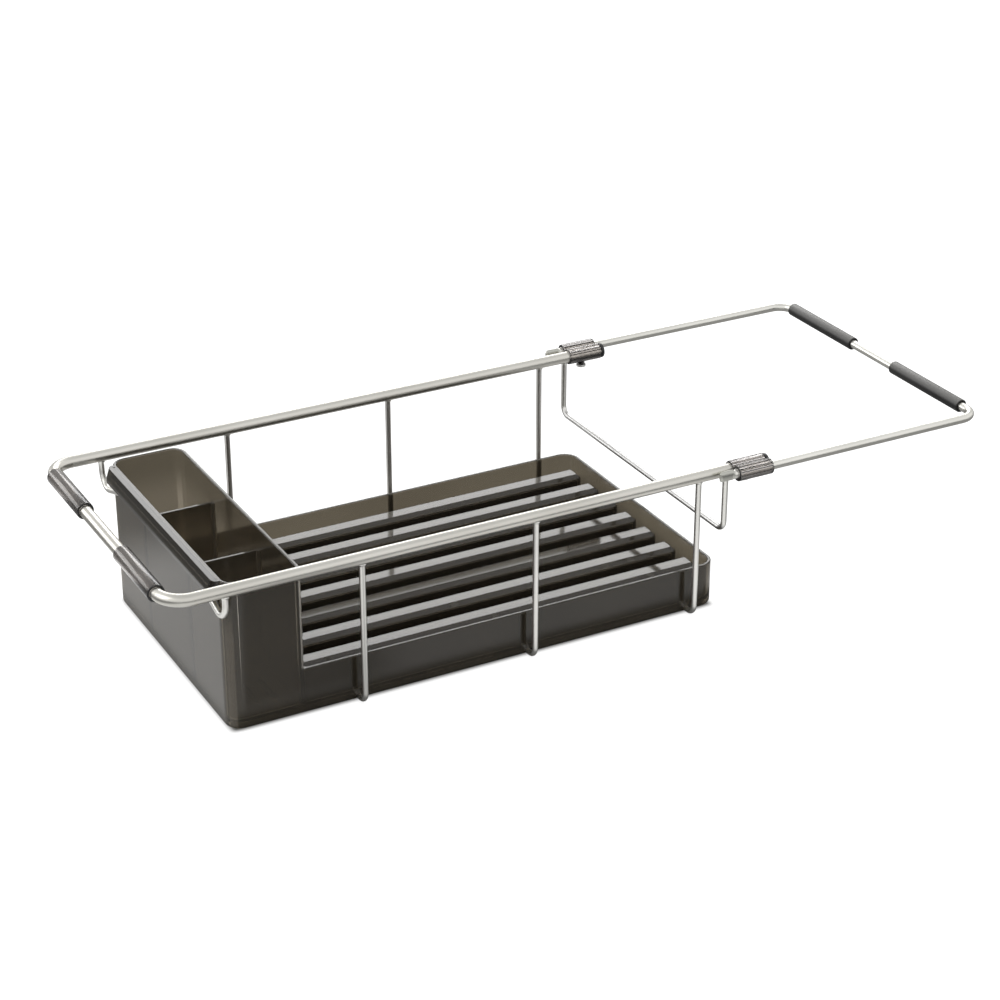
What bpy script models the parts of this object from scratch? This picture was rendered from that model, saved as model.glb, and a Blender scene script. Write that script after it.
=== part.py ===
# Extendable dish drainer that spans a sink: a steel tube frame with a sliding extension rod carries a
# smoke plastic tray with a cutlery holder.
# Lengths are in metres. The pieces are drawn about the left bar: x runs from its centreline towards the
# extension, y from the near side (-) to the far side (+), and z = 0 is the plane of the frame's tube.
# An empty then carries them all, so that the origin is below the middle of the extended drainer.
from math import cos, pi, radians, sin, tan

import bmesh
import bpy
from mathutils import Vector

# Gaps
seat_gap = 0.0003
slide_gap = 0.0003
overrun = 0.002

# Main frame: a U of steel tube, open to the right
gauge = 0.248
frame_length = 0.4835
tube_radius = 0.00475
tube_wall = 0.0009
tube_bend = 0.0195

# Wires welded under the tube
wire_radius = 0.00225
wire_bend = 0.008
cradle_drop = 0.1178
cradle_first = 0.1463
cradle_end_space = 0.0263
cradle_count = 3
tie_space = 0.00095
tie_drop = 0.0509

# Hooks at the ends of the bar that the tray's lip clips over
hook_dip = 0.018
hook_ramp = 0.056
hook_bend = 0.012

# Plastic sleeves on the left bar, which rest on the sink's rim
left_sleeve_radius = 0.0066
left_sleeve_length = 0.067
left_sleeve_on_bend = 0.0005

# Extension: a U of steel rod that slides in the clamps, outside the tube
rod_radius = 0.0035
rod_bend = 0.0145
rod_offset = 0.01025
rod_rise = 0.0007
extension_out = 0.1965
stop_length = 0.0125
stop_height = 0.0084
stop_thickness = 0.0038
stop_neck = 0.0028

# Plastic sleeves on the extension's end bar
end_sleeve_radius = 0.0054
end_sleeve_length = 0.0895
end_sleeve_gap = 0.0005
end_sleeve_near_space = 0.006
end_sleeve_on_bend = 0.0027

# Clamps that hold the tube and guide the rod
clamp_length = 0.030
clamp_tube_wall = 0.00175
clamp_rod_wall = 0.0026
clamp_rod_inset = 0.0005
boss_radius = 0.003
boss_height = 0.0020
boss_place = 0.0131
screw_radius = 0.0016
screw_clearance = 0.0003
screw_head_radius = 0.0040
screw_head_height = 0.0022
screw_tip = 0.0012

# Plugs that cap the tube's two ends
plug_cap_radius = 0.0062
plug_cap_length = 0.0025
plug_stem_length = 0.009

# Tray: one moulding with the cutlery holder at its left end
tray_left = 0.0452
tray_side_space = 0.00925
tray_height = 0.0367
tray_left_corner = 0.012
tray_right_corner = 0.0135
tray_wall = 0.0028
tray_foot_round = 0.003
floor_thickness = 0.0025
skirt_depth = 0.00435
skirt_land = 0.0015
notch_clearance = 0.0005

# Ribs that dishes stand on
rib_count = 7
rib_below_rim = 0.0067
rib_top_width = 0.0100
rib_shoulder = 0.0033
rib_shoulder_drop = 0.0028
rib_wall = 0.0022
rib_end_space = 0.0054

# Drain slots
valley_slots = 4
valley_slot_share = 0.68
slot_width = 0.005
holder_slots = 3
holder_slot_length = 0.034
holder_slot_pitch = 0.014

# Cutlery holder
holder_length = 0.0588
holder_below_tube = 0.00135
holder_near_corner = 0.0035
holder_far_corner = 0.011
holder_inner_corner = 0.0085
middle_pocket_share = 0.393
divider_thickness = 0.0025
divider_below_rim = 0.017

# Lip that clips over the bar
lip_end_space = 0.009
lip_ledge = 0.0059
lip_top_width = 0.0044
lip_wall = 0.0020
lip_tail = 0.0031

# Facets
tube_sides = 16
wire_sides = 12
bend_steps = 7
corner_steps = 5
screw_sides = 12

# Heights that follow from these
floor_under = -cradle_drop + wire_radius + seat_gap
tray_base = floor_under - skirt_depth
floor_top = floor_under + floor_thickness
tray_rim = tray_base + tray_height
holder_rim = -holder_below_tube
rib_top = tray_rim - rib_below_rim
channel_half = wire_radius / cos(pi / wire_sides) + seat_gap
bar_place = tray_left - channel_half
bar_height = holder_rim - lip_ledge - channel_half
tube_under = -tube_radius - seat_gap

# Lines that follow from these
side = gauge / 2
rod_side = side + rod_offset
clamp_start = frame_length - clamp_length
extension_reach = frame_length + extension_out
tie_place = clamp_start - tie_space - wire_radius
tray_right = tie_place + wire_radius
tray_side = side - tray_side_space
tray_inner_side = tray_side - tray_wall
cradle_pitch = (tray_right - cradle_end_space - cradle_first) / (cradle_count - 1)
skirt_width = tray_foot_round + skirt_land
holder_right = tray_left + holder_length
rib_width = rib_top_width + 2 * rib_shoulder
rib_pitch = (2 * tray_inner_side + rib_width) / (rib_count + 1)
divider_place = middle_pocket_share * tray_inner_side
lip_side = tray_side - lip_end_space

for old in list(bpy.data.objects):
    bpy.data.objects.remove(old)

carrier = bpy.data.objects.new("drainer", None)
bpy.context.collection.objects.link(carrier)
left_end = -left_sleeve_radius
right_end = extension_reach + end_sleeve_radius
carrier.location = (-(left_end + right_end) / 2, 0, cradle_drop + wire_radius)


# Materials

def material(name, color, roughness, metallic=0.0, alpha=1.0):
    made = bpy.data.materials.new(name)
    made.use_nodes = True
    shader = made.node_tree.nodes["Principled BSDF"]
    shader.inputs["Base Color"].default_value = (*color, 1.0)
    shader.inputs["Roughness"].default_value = roughness
    shader.inputs["Metallic"].default_value = metallic
    shader.inputs["Alpha"].default_value = alpha
    made.diffuse_color = (*color, alpha)
    return made


tube_steel = material("tube_steel", (0.62, 0.60, 0.55), 0.30, metallic=1.0)
wire_steel = material("wire_steel", (0.66, 0.64, 0.59), 0.26, metallic=1.0)
rod_steel = material("rod_steel", (0.64, 0.62, 0.56), 0.28, metallic=1.0)
screw_steel = material("screw_steel", (0.75, 0.75, 0.74), 0.20, metallic=1.0)
smoke_plastic = material("smoke_plastic", (0.055, 0.050, 0.042), 0.15, alpha=0.92)
sleeve_plastic = material("sleeve_plastic", (0.16, 0.15, 0.145), 0.22)
end_sleeve_plastic = material("end_sleeve_plastic", (0.045, 0.044, 0.043), 0.30)
clamp_plastic = material("clamp_plastic", (0.14, 0.13, 0.125), 0.25)
plug_plastic = material("plug_plastic", (0.012, 0.012, 0.012), 0.45)


# Ways to make a mesh

def add_object(name, mesh, finish):
    made = bpy.data.objects.new(name, mesh)
    bpy.context.collection.objects.link(made)
    made.parent = carrier
    if finish is None:
        made.hide_render = True
        made.display_type = "WIRE"
    else:
        mesh.materials.append(finish)
        mesh.shade_smooth()
        mesh.set_sharp_from_angle(angle=radians(32))
    return made


def mesh_from(name, bm):
    bmesh.ops.recalc_face_normals(bm, faces=bm.faces)
    mesh = bpy.data.meshes.new(name)
    bm.to_mesh(mesh)
    bm.free()
    return mesh


def loft(name, rings, finish, closed=False):
    """Skins rings of equal length, with a face at each end unless the run is closed."""
    bm = bmesh.new()
    made = [[bm.verts.new(point) for point in ring] for ring in rings]
    pairs = list(zip(made, made[1:]))
    if closed:
        pairs.append((made[-1], made[0]))
    else:
        bm.faces.new(made[0])
        bm.faces.new(made[-1])
    count = len(made[0])
    for lower, upper in pairs:
        for index in range(count):
            after = (index + 1) % count
            bm.faces.new((lower[index], lower[after], upper[after], upper[index]))
    return add_object(name, mesh_from(name, bm), finish)


def hulls(name, groups, finish=None):
    """One convex solid for each group of points, all in one object."""
    bm = bmesh.new()
    for points in groups:
        corners = [bm.verts.new(point) for point in points]
        bmesh.ops.convex_hull(bm, input=corners)
    return add_object(name, mesh_from(name, bm), finish)


def box_points(low, high):
    return [Vector((x, y, z)) for x in (low[0], high[0]) for y in (low[1], high[1]) for z in (low[2], high[2])]


def boolean(target, tool, operation):
    step = target.modifiers.new(tool.name, "BOOLEAN")
    step.operation = operation
    step.solver = "EXACT"
    step.object = tool


# Bent tubes and wires

def bent_path(corners, bend):
    """Points and directions along straight runs joined by arcs of the bend radius."""
    points = [Vector(corner) for corner in corners]
    path = [(points[0], (points[1] - points[0]).normalized())]
    for before, corner, after in zip(points, points[1:], points[2:]):
        incoming = (corner - before).normalized()
        outgoing = (after - corner).normalized()
        turn = incoming.angle(outgoing)
        start = corner - incoming * bend * tan(turn / 2)
        inward = (outgoing - incoming * incoming.dot(outgoing)).normalized()
        centre = start + inward * bend
        for step in range(bend_steps + 1):
            angle = turn * step / bend_steps
            point = centre - inward * bend * cos(angle) + incoming * bend * sin(angle)
            path.append((point, incoming * cos(angle) + inward * sin(angle)))
    path.append((points[-1], (points[-1] - points[-2]).normalized()))
    return path


def ring(centre, direction, normal, radius, sides, tall=1.0, thick=1.0):
    """A polygon round a point, with its flats on the radius and one flat square to the normal."""
    across = normal.cross(direction).normalized()
    corner = radius / cos(pi / sides)
    made = []
    for index in range(sides):
        angle = 2 * pi * (index + 0.5) / sides
        made.append(centre + normal * corner * tall * cos(angle) + across * corner * thick * sin(angle))
    return made


def bent_solid(name, path, normal, radius, sides, finish):
    return loft(name, [ring(point, along, normal, radius, sides) for point, along in path], finish)


def bent_tube(name, path, normal, radius, bore, sides, finish):
    outer = [ring(point, along, normal, radius, sides) for point, along in path]
    inner = [ring(point, along, normal, bore, sides) for point, along in path]
    return loft(name, outer + inner[::-1], finish, closed=True)


up = Vector((0, 0, 1))
along_x = Vector((1, 0, 0))
along_y = Vector((0, 1, 0))


def straight(start, end):
    start, end = Vector(start), Vector(end)
    return [(start, (end - start).normalized()), (end, (end - start).normalized())]


def build_main_tube():
    corners = [(frame_length, -side, 0), (0, -side, 0), (0, side, 0), (frame_length, side, 0)]
    tube = bent_tube("main_frame_tube", bent_path(corners, tube_bend), up, tube_radius,
                     tube_radius - tube_wall, tube_sides, tube_steel)
    holes = []
    for hand in (-1, 1):
        foot = Vector((clamp_start + boss_place, hand * side, -tube_radius - overrun))
        head = foot + up * (tube_wall + 2 * overrun)
        reach = screw_radius + screw_clearance
        holes.append(ring(foot, up, along_x, reach, screw_sides) + ring(head, up, along_x, reach, screw_sides))
    boolean(tube, hulls("screw_holes", holes), "DIFFERENCE")


def build_hanging_wire(name, x, drop):
    corners = [(x, -side, tube_under), (x, -side, -drop), (x, side, -drop), (x, side, tube_under)]
    bent_solid(name, bent_path(corners, wire_bend), along_x, wire_radius, wire_sides, wire_steel)


def build_lip_bar():
    near = [(side, tube_under), (side, bar_height - hook_dip), (side - hook_ramp, bar_height)]
    corners = [(bar_place, -y, z) for y, z in near] + [(bar_place, y, z) for y, z in reversed(near)]
    bent_solid("lip_bar_wire", bent_path(corners, hook_bend), along_x, wire_radius, wire_sides, wire_steel)


def build_sleeve(name, place, length, x, z, radius, bore, finish):
    path = straight((x, place - length / 2, z), (x, place + length / 2, z))
    bent_tube(name, path, up, radius, bore, tube_sides, finish)


def build_left_sleeves():
    place = side - tube_bend + left_sleeve_on_bend - left_sleeve_length / 2
    for name, hand in (("left_sleeve_near", -1), ("left_sleeve_far", 1)):
        build_sleeve(name, hand * place, left_sleeve_length, 0, 0, left_sleeve_radius,
                     tube_radius + seat_gap, sleeve_plastic)


def build_end_sleeves():
    run_end = rod_side - rod_bend - end_sleeve_length / 2
    places = (("end_sleeve_near", end_sleeve_near_space - run_end), ("end_sleeve_far", run_end + end_sleeve_on_bend))
    for name, place in places:
        build_sleeve(name, place, end_sleeve_length, extension_reach, rod_rise, end_sleeve_radius,
                     rod_radius + end_sleeve_gap, end_sleeve_plastic)


def build_extension_rod():
    """The rod's two ends are pressed flat, taller than the clamp's bore, so that they stop it."""
    neck_start = clamp_start - stop_neck
    corners = [(neck_start, -rod_side, rod_rise), (extension_reach, -rod_side, rod_rise),
               (extension_reach, rod_side, rod_rise), (neck_start, rod_side, rod_rise)]
    path = bent_path(corners, rod_bend)
    rings = [ring(point, along, up, rod_radius, tube_sides) for point, along in path]
    tall = stop_height / 2 / rod_radius
    thick = stop_thickness / 2 / rod_radius
    # each place along the flat end, as a share of its length, with its height as a share of the flat's
    end_shares = ((0.18, 1.0), (0.80, 1.0), (0.94, 0.78), (1.0, 0.45))
    for hand, direction, ends in ((-1, along_x, []), (1, -along_x, [])):
        for place_share, height_share in end_shares:
            centre = Vector((neck_start - stop_length * place_share, hand * rod_side, rod_rise))
            ends.append(ring(centre, direction, up, rod_radius, tube_sides, tall * height_share, thick))
        if hand < 0:
            rings = ends[::-1] + rings
        else:
            rings = rings + ends
    loft("extension_rod", rings, rod_steel)


# Clamps, plugs and screws

def build_clamps():
    for name, hand in (("near", -1), ("far", 1)):
        tube_axis = Vector((0, hand * side, 0))
        rod_axis = Vector((0, hand * rod_side, rod_rise))
        start = along_x * clamp_start
        end = along_x * frame_length
        beyond = along_x * overrun
        inset = along_x * clamp_rod_inset
        grip = hulls("clamp_" + name, [
            ring(tube_axis + start, along_x, up, tube_radius + clamp_tube_wall, tube_sides)
            + ring(tube_axis + end, along_x, up, tube_radius + clamp_tube_wall, tube_sides)], clamp_plastic)
        guide = hulls("clamp_guide_" + name, [
            ring(rod_axis + start + inset, along_x, up, rod_radius + clamp_rod_wall, tube_sides)
            + ring(rod_axis + end - inset, along_x, up, rod_radius + clamp_rod_wall, tube_sides)])
        boss_foot = tube_axis + along_x * (clamp_start + boss_place)
        boss_low = -tube_radius - clamp_tube_wall - boss_height
        boss = hulls("clamp_boss_" + name, [
            ring(boss_foot + up * boss_low, up, along_x, boss_radius, screw_sides)
            + ring(boss_foot - up * tube_radius, up, along_x, boss_radius, screw_sides)])
        reach = screw_radius + screw_clearance
        bores = hulls("clamp_bores_" + name, [
            ring(tube_axis + start - beyond, along_x, up, tube_radius + seat_gap, tube_sides)
            + ring(tube_axis + end + beyond, along_x, up, tube_radius + seat_gap, tube_sides),
            ring(rod_axis + start - beyond, along_x, up, rod_radius + slide_gap, tube_sides)
            + ring(rod_axis + end + beyond, along_x, up, rod_radius + slide_gap, tube_sides)])
        screw_bore = hulls("clamp_screw_bore_" + name, [
            ring(boss_foot + up * (boss_low - overrun), up, along_x, reach, screw_sides)
            + ring(boss_foot, up, along_x, reach, screw_sides)])
        boolean(grip, guide, "UNION")
        boolean(grip, boss, "UNION")
        boolean(grip, bores, "DIFFERENCE")
        boolean(grip, screw_bore, "DIFFERENCE")
        build_screw(name, boss_foot, boss_low - seat_gap)
        build_plug(name, tube_axis)


def build_screw(name, foot, head_top):
    """A pan-head screw that comes up through the boss and the tube's wall."""
    rings = [(head_top - screw_head_height, screw_head_radius - screw_head_height / 2),
             (head_top - screw_head_height / 2, screw_head_radius),
             (head_top, screw_head_radius),
             (head_top, screw_radius),
             (-tube_radius + tube_wall, screw_radius),
             (-tube_radius + tube_wall + screw_tip, screw_radius / 2)]
    loft("clamp_screw_" + name, [ring(foot + up * z, up, along_x, radius, screw_sides) for z, radius in rings],
         screw_steel)


def build_plug(name, axis):
    cap_start = frame_length + seat_gap
    stem = tube_radius - tube_wall - seat_gap
    chamfer = plug_cap_length / 3
    rings = [(cap_start - plug_stem_length, stem - chamfer),
             (cap_start - plug_stem_length + chamfer, stem),
             (cap_start, stem),
             (cap_start, plug_cap_radius),
             (cap_start + plug_cap_length - chamfer, plug_cap_radius),
             (cap_start + plug_cap_length, plug_cap_radius - chamfer)]
    loft("tube_plug_" + name, [ring(axis + along_x * x, along_x, up, radius, tube_sides) for x, radius in rings],
         plug_plastic)


# Tray

def rounded(low, high, radii, steps=corner_steps):
    """A rectangle's outline, with a radius for its left near, right near, right far and left far corner."""
    centres = ((low[0], low[1], 1, 1), (high[0], low[1], -1, 1), (high[0], high[1], -1, -1), (low[0], high[1], 1, -1))
    outline = []
    for corner, ((x, y, toward_x, toward_y), radius) in enumerate(zip(centres, radii)):
        first = pi + corner * pi / 2
        for step in range(steps + 1):
            angle = first + pi / 2 * step / steps
            outline.append((x + toward_x * radius + radius * cos(angle), y + toward_y * radius + radius * sin(angle)))
    return outline


def at_height(outline, z):
    return [Vector((x, y, z)) for x, y in outline]


def tray_block():
    """The outer shape, with a rounded foot, as tall as the cutlery holder all over."""
    rings = []
    for step in range(corner_steps):
        angle = pi / 2 * step / (corner_steps - 1)
        inset = tray_foot_round * (1 - sin(angle))
        corners = (tray_left_corner - inset, tray_right_corner - inset,
                   tray_right_corner - inset, tray_left_corner - inset)
        outline = rounded((tray_left + inset, -tray_side + inset), (tray_right - inset, tray_side - inset), corners)
        rings.append(at_height(outline, tray_base + tray_foot_round * (1 - cos(angle))))
    rings.append([Vector((point.x, point.y, holder_rim)) for point in rings[-1]])
    return loft("tray", rings, smoke_plastic)


def dish_well():
    inner_corner = tray_right_corner - tray_wall
    square = holder_near_corner / 2
    outline = rounded((holder_right, -tray_inner_side), (tray_right - tray_wall, tray_inner_side),
                      (square, inner_corner, inner_corner, square))
    return loft("dish_well", [at_height(outline, floor_top), at_height(outline, holder_rim + overrun)], None)


def low_side():
    """All that lies above the low rim, outside the cutlery holder's right end."""
    outline = []
    for hand, radius in ((-1, holder_near_corner), (1, holder_far_corner)):
        arc = []
        for step in range(corner_steps + 1):
            angle = pi / 2 * step / corner_steps
            arc.append((holder_right - radius + radius * sin(angle), hand * (tray_side - radius + radius * cos(angle))))
        start = (arc[0][0], hand * (tray_side + overrun))
        outline += [start] + arc if hand < 0 else arc[::-1] + [start]
    outline += [(tray_right + overrun, tray_side + overrun), (tray_right + overrun, -tray_side - overrun)]
    return loft("low_side", [at_height(outline, tray_rim), at_height(outline, holder_rim + overrun)], None)


def compartments():
    """Three pockets, open at the top; the dividers between them stop short of the rim."""
    left = tray_left + tray_wall
    right = holder_right - tray_wall
    near = -tray_inner_side
    far = tray_inner_side
    half = divider_thickness / 2
    round_in = holder_inner_corner
    tight = divider_thickness
    spans = ((near, -divider_place - half, (round_in, tight, tight, tight)),
             (-divider_place + half, divider_place - half, (tight, tight, tight, tight)),
             (divider_place + half, far, (tight, tight, round_in, round_in)))
    pockets = []
    for number, (low, high, radii) in enumerate(spans):
        outline = rounded((left, low), (right, high), radii)
        pockets.append(loft("pocket_%d" % (number + 1), [at_height(outline, floor_top),
                                                        at_height(outline, holder_rim + overrun)], None))
    outline = rounded((left, near), (right, far), (round_in, tight, round_in, round_in))
    above = loft("above_dividers", [at_height(outline, holder_rim - divider_below_rim),
                                    at_height(outline, holder_rim + overrun)], None)
    return pockets + [above]


def rib_lines():
    return [rib_pitch * (number - (rib_count - 1) / 2) for number in range(rib_count)]


def ribs():
    start = holder_right - tray_wall / 2
    end = tray_right - tray_wall - rib_end_space
    foot = floor_top - floor_thickness / 2
    groups = []
    for y in rib_lines():
        half_top = rib_top_width / 2
        half = rib_width / 2
        shoulder = rib_top - rib_shoulder_drop
        points = [(start, y + hand * half, z) for hand in (-1, 1) for z in (foot, shoulder)]
        points += [(end, y + hand * half, z) for hand in (-1, 1) for z in (foot, shoulder)]
        points += [(x, y + hand * half_top, rib_top) for hand in (-1, 1) for x in (start, end - rib_shoulder)]
        groups.append([Vector(point) for point in points])
    return hulls("ribs", groups)


def rib_hollows():
    start = holder_right + rib_wall / 2
    end = tray_right - tray_wall - rib_end_space - rib_wall
    half = rib_width / 2 - rib_wall
    return hulls("rib_hollows", [box_points((start, y - half, floor_under - overrun / 2),
                                            (end, y + half, rib_top - rib_wall)) for y in rib_lines()])


def foot_recess():
    inset = skirt_width
    corners = (tray_left_corner - inset, tray_right_corner - inset, tray_right_corner - inset, tray_left_corner - inset)
    outline = rounded((tray_left + inset, -tray_side + inset), (tray_right - inset, tray_side - inset), corners)
    return loft("foot_recess", [at_height(outline, tray_base - overrun), at_height(outline, floor_under)], None)


def wire_notches():
    half = wire_radius / cos(pi / wire_sides) + notch_clearance
    groups = []
    for number in range(cradle_count):
        x = cradle_first + cradle_pitch * number
        for hand in (-1, 1):
            inner = hand * (tray_side - skirt_width - overrun / 2)
            outer = hand * (tray_side + overrun)
            groups.append(box_points((x - half, min(inner, outer), tray_base - overrun),
                                     (x + half, max(inner, outer), floor_under)))
    return hulls("wire_notches", groups)


def drain_slots():
    low = floor_under - overrun / 2
    high = floor_top + overrun / 2
    groups = []
    lines = rib_lines()
    valleys = [lines[0] - rib_pitch / 2] + [line + rib_pitch / 2 for line in lines]
    run = tray_right - tray_wall - rib_end_space - holder_right
    half_slot = valley_slot_share * run / valley_slots / 2
    for y in valleys:
        for number in range(valley_slots):
            x = holder_right + run * (number + 0.5) / valley_slots
            groups.append(box_points((x - half_slot, y - slot_width / 2, low),
                                     (x + half_slot, y + slot_width / 2, high)))
    middle = (tray_left + holder_right) / 2
    outer = (divider_place + tray_inner_side) / 2
    for y in (-outer, 0, outer):
        for number in range(holder_slots):
            x = middle + holder_slot_pitch * (number - (holder_slots - 1) / 2)
            groups.append(box_points((x - slot_width / 2, y - holder_slot_length / 2, low),
                                     (x + slot_width / 2, y + holder_slot_length / 2, high)))
    return hulls("drain_slots", groups)


def lip():
    """A ledge out from the holder's left wall, whose edge bulges round the bar and hangs down beside it."""
    outer = channel_half + lip_wall
    top = holder_rim
    profile = [(tray_left + tray_wall / 2, top), (tray_left - lip_top_width, top)]
    for step in range(corner_steps):
        angle = radians(135) + radians(45) * step / (corner_steps - 1)
        profile.append((bar_place + outer * cos(angle), bar_height + outer * sin(angle)))
    tail = bar_height - lip_tail
    profile += [(bar_place - outer, tail + lip_wall / 2),
                (bar_place - outer + lip_wall / 3, tail),
                (bar_place - channel_half, tail)]
    profile += [(bar_place - channel_half, bar_height)]
    for step in range(1, corner_steps):
        angle = pi - pi / 2 * step / (corner_steps - 1)
        profile.append((bar_place + channel_half * cos(angle), bar_height + channel_half * sin(angle)))
    profile.append((tray_left + tray_wall / 2, bar_height + channel_half))
    rings = [[Vector((x, y, z)) for x, z in profile] for y in (-lip_side, lip_side)]
    return loft("lip", rings, None)


def build_tray():
    tray = tray_block()
    for pocket in compartments():
        boolean(tray, pocket, "DIFFERENCE")
    boolean(tray, dish_well(), "DIFFERENCE")
    boolean(tray, low_side(), "DIFFERENCE")
    boolean(tray, ribs(), "UNION")
    boolean(tray, foot_recess(), "DIFFERENCE")
    boolean(tray, rib_hollows(), "DIFFERENCE")
    boolean(tray, drain_slots(), "DIFFERENCE")
    boolean(tray, wire_notches(), "DIFFERENCE")
    boolean(tray, lip(), "UNION")


build_main_tube()
for number in range(cradle_count):
    build_hanging_wire("cradle_wire_%d" % (number + 1), cradle_first + cradle_pitch * number, cradle_drop)
build_hanging_wire("end_tie_wire", tie_place, tie_drop)
build_lip_bar()
build_left_sleeves()
build_extension_rod()
build_end_sleeves()
build_clamps()
build_tray()
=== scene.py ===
from math import acos, atan2, cos, degrees, pi, radians, sin, tan

import bmesh
import bpy
from mathutils import Matrix, Vector


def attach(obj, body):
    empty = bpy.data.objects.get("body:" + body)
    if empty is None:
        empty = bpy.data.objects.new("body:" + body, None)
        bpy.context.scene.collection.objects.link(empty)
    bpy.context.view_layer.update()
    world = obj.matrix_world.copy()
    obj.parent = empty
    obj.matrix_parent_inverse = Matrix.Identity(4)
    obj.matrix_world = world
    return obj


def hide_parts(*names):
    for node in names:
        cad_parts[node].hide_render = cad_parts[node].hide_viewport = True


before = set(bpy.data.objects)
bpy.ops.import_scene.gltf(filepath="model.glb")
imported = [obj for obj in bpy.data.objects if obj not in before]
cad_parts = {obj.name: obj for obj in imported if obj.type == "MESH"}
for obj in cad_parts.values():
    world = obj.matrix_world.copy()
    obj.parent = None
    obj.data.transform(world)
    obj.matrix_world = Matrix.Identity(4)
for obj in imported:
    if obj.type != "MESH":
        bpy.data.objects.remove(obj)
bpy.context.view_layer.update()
print("frame loaded:", len(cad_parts), "nodes")

shared = {
    "gauge": 0.248,             # between the centrelines of the two long tubes
    "frameLength": 0.4835,
    "drop": 0.12005,            # from the plane of the tube down to the lowest wire
    "leftBar": -0.3394,         # the left bar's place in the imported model
    "seatGap": 0.0003,
    "clampLength": 0.030,
    "rodOffset": 0.01025,       # the rod lies this far outside the tube
    "rodRise": 0.0007,          # and this far above it
    "rodReach": 0.680,          # from the left bar to the extension's end bar
    "lipBarPlace": 0.042571,    # the bar that the tray's lip clips over
    "lipBarHeight": -0.009879,
}
side = shared["gauge"] / 2
rodSide = side + shared["rodOffset"]
rodLevel = shared["drop"] + shared["rodRise"]
clampStart = shared["frameLength"] - shared["clampLength"]
toModel = Matrix.Translation((shared["leftBar"], 0, shared["drop"]))
up = Vector((0, 0, 1))
alongX = Vector((1, 0, 0))
alongY = Vector((0, 1, 0))


# Shader maths

class Value:
    # a socket that takes part in sums; each sum adds its own Math node
    def __init__(self, finish, socket):
        self.finish = finish
        self.socket = socket

    def math(self, operation, first, second):
        return self.finish.make("ShaderNodeMath", {"operation": operation}, {0: first, 1: second})

    def __add__(self, other):
        return self.math("ADD", self, other)

    def __radd__(self, other):
        return self.math("ADD", other, self)

    def __sub__(self, other):
        return self.math("SUBTRACT", self, other)

    def __rsub__(self, other):
        return self.math("SUBTRACT", other, self)

    def __mul__(self, other):
        return self.math("MULTIPLY", self, other)

    def __rmul__(self, other):
        return self.math("MULTIPLY", other, self)

    def __abs__(self):
        return self.math("ABSOLUTE", self, 0)


class Finish:
    # one node tree, of a material or of the world
    def __init__(self, owner):
        self.owner = owner
        owner.use_nodes = True
        self.tree = owner.node_tree
        self.tree.nodes.clear()

    def make(self, kind, settings=None, sockets=None, output=0):
        node = self.tree.nodes.new(kind)
        for key, value in (settings or {}).items():
            setattr(node, key, value)
        for key, value in (sockets or {}).items():
            if isinstance(value, Value):
                self.tree.links.new(value.socket, node.inputs[key])
            else:
                node.inputs[key].default_value = value
        return Value(self, node.outputs[output]) if node.outputs else node

    def place(self, kind="Object"):
        return self.make("ShaderNodeTexCoord", output=kind)

    def axis(self, place, letter):
        # the X, Y or Z of a place
        return self.make("ShaderNodeSeparateXYZ", None, {"Vector": place}, output=letter)

    def ray(self, kind):
        # 1 for light paths of one kind: Camera, Glossy or Transmission
        return self.make("ShaderNodeLightPath", output="Is %s Ray" % kind)

    def noise(self, scale, detail=2.0, stretch=(1, 1, 1), rough=0.5):
        place = self.make("ShaderNodeVectorMath", {"operation": "MULTIPLY"}, {0: self.place(), 1: stretch})
        return self.make("ShaderNodeTexNoise", None,
                         {"Vector": place, "Scale": scale, "Detail": detail, "Roughness": rough})

    def spread(self, value, low, high):
        # 0 at low, 1 at high, smooth between them
        return self.make("ShaderNodeMapRange", {"interpolation_type": "SMOOTHSTEP"},
                         {"Value": value, "From Min": low, "From Max": high})

    def band(self, value, rise, fall):
        # rises to 1 over one range and falls back to 0 over another
        return self.spread(value, *rise) * (1 - self.spread(value, *fall))

    def mix(self, factor, first, second):
        return self.make("ShaderNodeMix", {"data_type": "RGBA"}, {0: factor, 6: first, 7: second}, output=2)

    def bump(self, height, strength, distance):
        return self.make("ShaderNodeBump", None,
                         {"Strength": strength, "Distance": distance, "Height": height})

    def surface(self, sockets):
        # ends a material with one Principled surface
        shader = self.make("ShaderNodeBsdfPrincipled", None, sockets)
        self.make("ShaderNodeOutputMaterial", None, {"Surface": shader})
        return self.owner


def colour(red, green, blue):
    return (red, green, blue, 1)


def deepened(finish, body, look):
    # a second colour that takes over along one axis, where the look names one; on the tie wire, the left
    # sleeves and the clamps it is painted shade, on the end sleeves a painted highlight
    if "deep" not in look:
        return body
    along = finish.axis(finish.place(), look["deepAlong"])
    return finish.mix(finish.spread(along, *look["deepFrom"]), body, colour(*look["deep"]))


# Steel

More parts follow.
